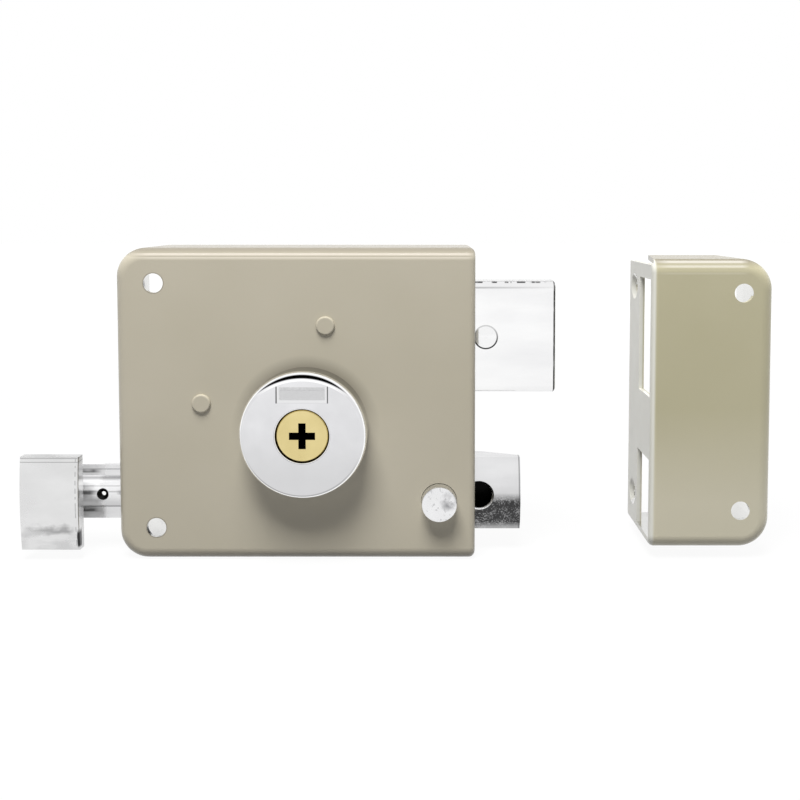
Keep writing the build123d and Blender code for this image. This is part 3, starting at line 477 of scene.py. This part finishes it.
def grip_plating():
    """The pull: satin face, painted dark reflection lines along its edges, and a wavy dark stain above its
    foot.
    """
    finish, tone = plating("grip_plating", "e4e4e4", "dadada", 0.24, (0.5, 1, 1))
    waves = finish.math("MULTIPLY", finish.math("SUBTRACT", finish.noise(330, 3.0), 0.5), 4.0)
    level = finish.math("ADD", finish.z, waves)
    stain = finish.both(
        finish.band(level, GRIP_BOTTOM + 6.2, 0.3, 1.3),
        finish.ramp(finish.noise(420, 2.0, (0.22, 0.4, 1.6)), 0.3, 0.6, 0.25, 1.0),
        finish.band(finish.x, (GRIP_LEFT + GRIP_RIGHT) / 2, 5.5, 2.5),
    )
    tone = finish.blend(finish.both(stain, 0.55), tone, "5c5c5d")
    below = finish.both(
        finish.ramp(level, GRIP_BOTTOM + 6.4, GRIP_BOTTOM + 5.0),
        finish.ramp(finish.noise(260, 3.0, (0.4, 1, 1)), 0.42, 0.6),
        0.4,
    )
    tone = finish.blend(below, tone, "b2b2b3")
    sway = finish.math("ADD", finish.x, finish.math("MULTIPLY", waves, 0.15))
    streak = finish.both(
        finish.band(sway, GRIP_RIGHT, 0.45, 0.2),
        finish.ramp(finish.z, GRIP_BOTTOM + 6.6, GRIP_BOTTOM + 5.2),
        finish.ramp(finish.z, GRIP_BOTTOM + 0.7, GRIP_BOTTOM + 1.4),
        finish.ramp(finish.y, GRIP_FRONT + 3.0, GRIP_FRONT + 2.4),
    )
    tone = finish.blend(finish.both(streak, 0.95), tone, "121213")
    # Painted dark reflection lines along the top edges.
    for down in (0.3, 1.4):
        top = finish.band(finish.z, GRIP_TOP - down, 0.05, 0.15)
        tone = finish.blend(finish.both(top, 0.55), tone, "7f7f80")
    # Painted dark reflection line along the right edge.
    side_reflection = finish.both(
        finish.band(finish.x, GRIP_RIGHT - 0.75, 0.05, 0.15),
        finish.ramp(finish.noise(700, 1.0, (0.1, 0.1, 1)), 0.46, 0.52),
    )
    tone = finish.blend(finish.both(side_reflection, 0.5), tone, "77777a")
    finish.colour(tone)
    return finish.material


def turned(name, pale, dark, roughness):
    """Metal turned on a lathe about the cylinder axis, with fine rings, and its colour for marks on top."""
    finish = Finish(name, metallic=1.0)
    turns = finish.math("MULTIPLY", finish.distance(0.0, 0.0), 2 * math.pi / TURNING_PITCH)
    rings = finish.math("SINE", turns)
    cloud = finish.noise(140)
    finish.roughness(finish.ramp(cloud, 0.3, 0.7, roughness * 0.8, roughness * 1.3))
    finish.bump((rings, TURNING_DEPTH * MM))
    return finish, finish.blend(finish.ramp(cloud, 0.3, 0.7), pale, dark)


def drum_chrome():
    """The drum: bright chrome with painted reflections, darker below, white round its rim and black under its
    rim at the top, with a frosted bare name plate.
    """
    finish, tone = turned("drum_chrome", "e4e4e6", "dcdcde", 0.12)
    # Painted reflection: darker towards the bottom.
    tone = finish.blend(finish.ramp(finish.z, 3.0, -12.0, 0.0, 0.7), tone, "cfcfd0")
    outer, drop, inner = CRESCENT_REFLECTION
    radius = finish.distance(0.0, 0.0)
    shifted = finish.distance(0.0, -drop)
    front = finish.ramp(finish.y, DRUM_FRONT + 2.4, DRUM_FRONT + 1.9)
    # Painted highlight: white round the rim's front.
    tone = finish.blend(finish.both(finish.ramp(radius, outer, outer + 0.15), front), tone, "ffffff")
    # Painted shade: grey line inside the rim at the bottom.
    foot_shade = finish.both(
        finish.band(radius, outer - 0.2, 0.1, 0.2),
        finish.ramp(finish.z, -6.0, -14.0, 0.0, 0.7),
        front,
    )
    tone = finish.blend(foot_shade, tone, "9c9c9c")
    # Painted highlight: white ring over the crescent.
    gleam = finish.both(
        finish.band(shifted, inner - 0.5, 0.2, 0.2),
        finish.ramp(finish.z, CRESCENT_FOOT, CRESCENT_FOOT + 3.0),
        front,
    )
    tone = finish.blend(gleam, tone, "ffffff")
    # Painted reflection: black crescent under the rim at the top.
    dark = finish.both(
        finish.ramp(radius, outer - 0.12, outer + 0.04, 1.0, 0.0),
        finish.ramp(shifted, inner - 0.1, inner + 0.12),
        finish.ramp(finish.z, CRESCENT_FOOT, CRESCENT_FOOT + 1.0),
        front,
    )
    tone = finish.blend(dark, tone, "020202")
    # Painted reflection: darker side wall, most at the top.
    painted_wall = finish.both(
        finish.math("SUBTRACT", 1.0, front),
        finish.ramp(finish.z, 0.0, CRESCENT_FOOT, 0.0, 0.85),
    )
    tone = finish.blend(painted_wall, tone, "a0a09c")
    x, z, half_width, half_height = NAME_PLATE
    rise, inset, pad_height = NAME_PAD
    across = finish.math("ABSOLUTE", finish.math("SUBTRACT", finish.x, x))
    up = finish.math("ABSOLUTE", finish.math("SUBTRACT", finish.z, z))
    within = finish.both(
        finish.ramp(across, half_width, half_width + 0.05, 1.0, 0.0),
        finish.ramp(up, half_height, half_height + 0.05, 1.0, 0.0),
        finish.ramp(finish.z, 5.0, 5.1),
    )
    pad = finish.both(
        finish.ramp(across, half_width - inset, half_width - inset + 0.4, 1.0, 0.0),
        finish.band(finish.z, z + rise, pad_height, 0.3),
    )
    frost = finish.blend(finish.ramp(finish.noise(4200, 1.0), 0.35, 0.65), "dcdcdd", "bebebf")
    # Painted shade along the name plate's edges.
    edge_shade = finish.ramp(across, half_width - 0.4, half_width - 0.25)
    tone = finish.blend(within, tone, finish.blend(edge_shade, "e6e6e7", "6a6a6b"))
    tone = finish.blend(finish.both(pad, within), tone, frost)
    finish.colour(tone)
    return finish.material


def drum_lip():
    """Turned-in lip of the drum's mouth, which leaves a thin dark ring round the plug."""
    mesh = bmesh.new()
    back = DRUM_FRONT + LIP_DEPTH
    edge = (DRUM_MOUTH - LIP_BORE) / 2
    middle = (DRUM_MOUTH + LIP_BORE) / 2
    outline = [(DRUM_MOUTH, back), (DRUM_MOUTH, DRUM_FRONT + edge)]
    for step in range(1, LIP_STEPS):
        turn = math.pi * step / LIP_STEPS
        outline.append((middle + edge * math.cos(turn), DRUM_FRONT + edge * (1 - math.sin(turn))))
    outline += [(LIP_BORE, DRUM_FRONT + edge), (LIP_BORE, back)]
    rings = []
    for step in range(LIP_SIDES):
        turn = 2 * math.pi * step / LIP_SIDES
        ring = [
            mesh.verts.new((radius * math.cos(turn) * MM, y * MM, radius * math.sin(turn) * MM))
            for radius, y in outline
        ]
        rings.append(ring)
    for first, second in zip(rings, rings[1:] + rings[:1]):
        for index in range(len(outline)):
            after = (index + 1) % len(outline)
            mesh.faces.new((first[index], first[after], second[after], second[index]))
    bmesh.ops.recalc_face_normals(mesh, faces=mesh.faces)
    for face in mesh.faces:
        face.smooth = True
    data = bpy.data.meshes.new("drum_lip")
    mesh.to_mesh(data)
    mesh.free()
    piece = bpy.data.objects.new("drum_lip", data)
    bpy.context.collection.objects.link(piece)
    piece.data.materials.append(plain("lip_chrome", "f2f2f4", "e6e6e8", 0.14))
    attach(piece, "case")


def spring(name, node):
    """Piece with the shape of a spring's node, which stands for it."""
    piece = bpy.data.objects.new(name, nodes[node].data.copy())
    bpy.context.collection.objects.link(piece)
    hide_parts(node)
    return piece


def latch_coil():
    """The coil behind the latch, as a piece on the case with a mesh of its own."""
    piece = spring("latch_coil", "latch_spring")
    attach(piece, "case")
    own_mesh(piece)


def button_leaf():
    """The leaf under the button, as a piece of its own."""
    piece = spring("button_leaf", "button_spring")
    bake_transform(piece)


def button_steel():
    """The button: bright steel with one dull patch."""
    finish, tone = plating("button_steel", "efeff0", "e3e3e4", 0.2, (1, 1, 1))
    patch = finish.ramp(finish.distance(BUTTON[0] + 2.7, BUTTON[1] + 0.9), 1.2, 3.0, 1.0, 0.0)
    worn = finish.both(patch, finish.ramp(finish.noise(380, 3.0), 0.38, 0.6))
    tone = finish.blend(worn, tone, "9c9c9e")
    pits = finish.both(finish.ramp(finish.noise(900, 3.0), 0.6, 0.66), 0.5)
    finish.colour(finish.blend(pits, tone, "a9a9ab"))
    return finish.material


def brass(name):
    """Turned brass, with painted shade in the keyway and in the gap round the plug."""
    finish, tone = turned(name, "e5d49b", "d9c88e", 0.22)
    radius = finish.distance(0.0, 0.0)
    key = finish.both(
        finish.ramp(radius, KEYWAY_REACH, KEYWAY_REACH + 0.05, 1.0, 0.0),
        finish.ramp(finish.y, PLUG_FRONT + 0.15, PLUG_FRONT + 0.5),
    )
    gap = finish.both(
        finish.ramp(radius, PLUG_RADIUS - 0.06, PLUG_RADIUS - 0.02),
        finish.ramp(finish.y, PLUG_FRONT + 0.25, PLUG_FRONT + 0.45),
        finish.ramp(finish.y, CASE_FRONT, CASE_FRONT + 0.1, 1.0, 0.0),
    )
    # Painted shade in the keyway and the gap.
    dark = finish.math("MAXIMUM", key, gap)
    finish.colour(finish.blend(dark, tone, "0d0906"))
    return finish.material


def give(names, material):
    """Puts one material on whole CAD nodes."""
    for name in names:
        slots = nodes[name].material_slots
        for slot in slots:
            slot.material = material
        if not slots:
            nodes[name].data.materials.append(material)


def recoat(name, material, chosen):
    """Puts a second material on the chosen faces of a CAD node."""
    mesh = nodes[name].data
    mesh.materials.append(material)
    index = len(mesh.materials) - 1
    for face in mesh.polygons:
        if chosen(face):
            face.material_index = index


def line(name, middle, material):
    """Puts a material on the faces of a pressed box that look at its middle."""
    middle = Vector(middle) * MM
    recoat(name, material, lambda face: face.normal.dot(face.center - middle) < 0)


def dress():
    """Gives each CAD node its finish."""
    give(["case_shell", "bolt_guide_post", "lever_post"], case_enamel())
    give(["strike_box"], strike_enamel())
    sheet = bare_sheet("bare_sheet")
    line("case_shell", CASE_MIDDLE, sheet)
    line("strike_box", STRIKE_MIDDLE, sheet)
    steel = plain("plain_steel", "b4b4b7", "9c9ca0", 0.3)
    for name in ("bolt_guide_post", "lever_post"):
        recoat(name, steel, lambda face: face.center.y > (CASE_FRONT + CASE_SHEET / 2) * MM)
    give(["deadbolt", "deadbolt_rivet"], deadbolt_plating())
    give(["latch_bolt"], latch_plating())
    give(["latch_rod"], rod_plating())
    give(["handle_grip"], grip_plating())
    give(
        ["back_plate", "deadbolt_tail", "spring_bracket", "latch_lever"],
        plain("zinc_plating", "c9cbce", "b3b6ba", 0.32, (0.3, 1, 1)),
    )
    give(["drum_cover"], drum_chrome())
    give(["snib_button"], button_steel())
    give(["cylinder_plug", "cylinder_body", "key_pins", "driver_pins"], brass("plug_brass"))
    give(
        [
            "back_plate_screws", "cylinder_screws", "rod_pins", "lever_pin", "grip_rivets", "spring_guide",
            "bracket_rivets", "drive_pinion",
        ],
        steel,
    )
    give(
        ["post_clips", "pin_springs", "plug_clip", "latch_spring", "button_clip", "button_spring"],
        plain("spring_steel", "77777c", "5e5e64", 0.3),
    )


def flat(name, place, width, depth, material):
    """Flat staged sheet, level, with its material."""
    half, far = width / 2, depth / 2
    mesh = bpy.data.meshes.new(name)
    mesh.from_pydata([(-half, -far, 0), (half, -far, 0), (half, far, 0), (-half, far, 0)], [], [(0, 1, 2, 3)])
    mesh.materials.append(material)
    piece = bpy.data.objects.new(name, mesh)
    bpy.context.collection.objects.link(piece)
    piece.location = place
    return piece


def seen_rays(tree, other, seen_value):
    """One value for camera, glossy and transmission rays, and another for all other rays."""
    path = tree.nodes.new("ShaderNodeLightPath")
    seen = path.outputs["Is Camera Ray"]
    for ray in ("Is Glossy Ray", "Is Transmission Ray"):
        join = tree.nodes.new("ShaderNodeMath")
        join.operation = "MAXIMUM"
        tree.links.new(seen, join.inputs[0])
        tree.links.new(path.outputs[ray], join.inputs[1])
        seen = join.outputs[0]
    level = tree.nodes.new("ShaderNodeMapRange")
    level.inputs["To Min"].default_value = other
    level.inputs["To Max"].default_value = seen_value
    tree.links.new(seen, level.inputs["Value"])
    return level.outputs[0]


def floor():
    """White floor at the foot of the case, which still takes the shadow."""
    material = bpy.data.materials.new("floor_white")
    material.use_nodes = True
    tree = material.node_tree
    shader = tree.nodes["Principled BSDF"]
    shader.inputs["Base Color"].default_value = (FLOOR_TONE, FLOOR_TONE, FLOOR_TONE, 1.0)
    shader.inputs["Roughness"].default_value = 0.9
    glow = tree.nodes.new("ShaderNodeEmission")
    away = tree.nodes.new("ShaderNodeVectorMath")
    away.operation = "LENGTH"
    tree.links.new(tree.nodes.new("ShaderNodeTexCoord").outputs["Object"], away.inputs[0])
    fade = tree.nodes.new("ShaderNodeMapRange")
    span = (*FLOOR_FADE, FLOOR_GLOW, FLOOR_FAR_GLOW)
    for name, number in zip(("From Min", "From Max", "To Min", "To Max"), span):
        fade.inputs[name].default_value = number
    tree.links.new(away.outputs["Value"], fade.inputs["Value"])
    tree.links.new(fade.outputs[0], glow.inputs["Strength"])
    mix = tree.nodes.new("ShaderNodeMixShader")
    tree.links.new(seen_rays(tree, 0.0, FLOOR_SHARE), mix.inputs[0])
    tree.links.new(shader.outputs[0], mix.inputs[1])
    tree.links.new(glow.outputs[0], mix.inputs[2])
    tree.links.new(mix.outputs[0], tree.nodes["Material Output"].inputs["Surface"])
    flat("floor", (0, 0, cad_box[0][2]), FLOOR_SIZE, FLOOR_SIZE, material)


def card(name, place, width, depth):
    """Black level card that only gloss sees."""
    material = bpy.data.materials.new(name)
    material.use_nodes = True
    tree = material.node_tree
    black = tree.nodes.new("ShaderNodeEmission")
    black.inputs["Strength"].default_value = 0.0
    tree.links.new(black.outputs[0], tree.nodes["Material Output"].inputs["Surface"])
    piece = flat(name, place, width, depth, material)
    piece.visible_camera = False
    piece.visible_diffuse = False
    piece.visible_shadow = False


def world():
    """Even white surround: full white to the camera, to gloss and through glass, softer as light."""
    made = bpy.data.worlds.new("studio")
    bpy.context.scene.world = made
    made.use_nodes = True
    back = made.node_tree.nodes["Background"]
    back.inputs["Color"].default_value = (1.0, 1.0, 1.0, 1.0)
    made.node_tree.links.new(seen_rays(made.node_tree, WORLD_DIFFUSE, 1.0), back.inputs["Strength"])


def lamp(name, place, size, power):
    """Soft square lamp that looks at the middle of the object."""
    light = bpy.data.lights.new(name, "AREA")
    light.shape = "SQUARE"
    light.size = size
    light.energy = power
    piece = bpy.data.objects.new(name, light)
    bpy.context.collection.objects.link(piece)
    piece.location = place
    middle = [(low + high) / 2 for low, high in zip(*cad_box)]
    piece.rotation_euler = (Vector(middle) - Vector(place)).to_track_quat("-Z", "Y").to_euler()
    piece.visible_glossy = False


def camera():
    """Camera at the photograph's viewing angle."""
    data = bpy.data.cameras.new("camera")
    data.sensor_width = SENSOR
    data.lens = FOCAL_PIXELS / IMAGE_SIZE * SENSOR
    data.shift_x = 0.5 - AXIS_PIXEL[0] / IMAGE_SIZE
    data.shift_y = AXIS_PIXEL[1] / IMAGE_SIZE - 0.5
    data.clip_start = 10 * MM
    piece = bpy.data.objects.new("camera", data)
    bpy.context.collection.objects.link(piece)
    piece.location = CAMERA_PLACE
    piece.rotation_euler = (math.radians(90 - CAMERA_PITCH), 0, 0)
    bpy.context.scene.camera = piece


dress()
drum_lip()
latch_coil()
button_leaf()
floor()
card("card_behind", **CARD)
world()
for lamp_name, settings in LAMPS.items():
    lamp(lamp_name, **settings)
camera()
bpy.context.scene.view_settings.view_transform = "Standard"
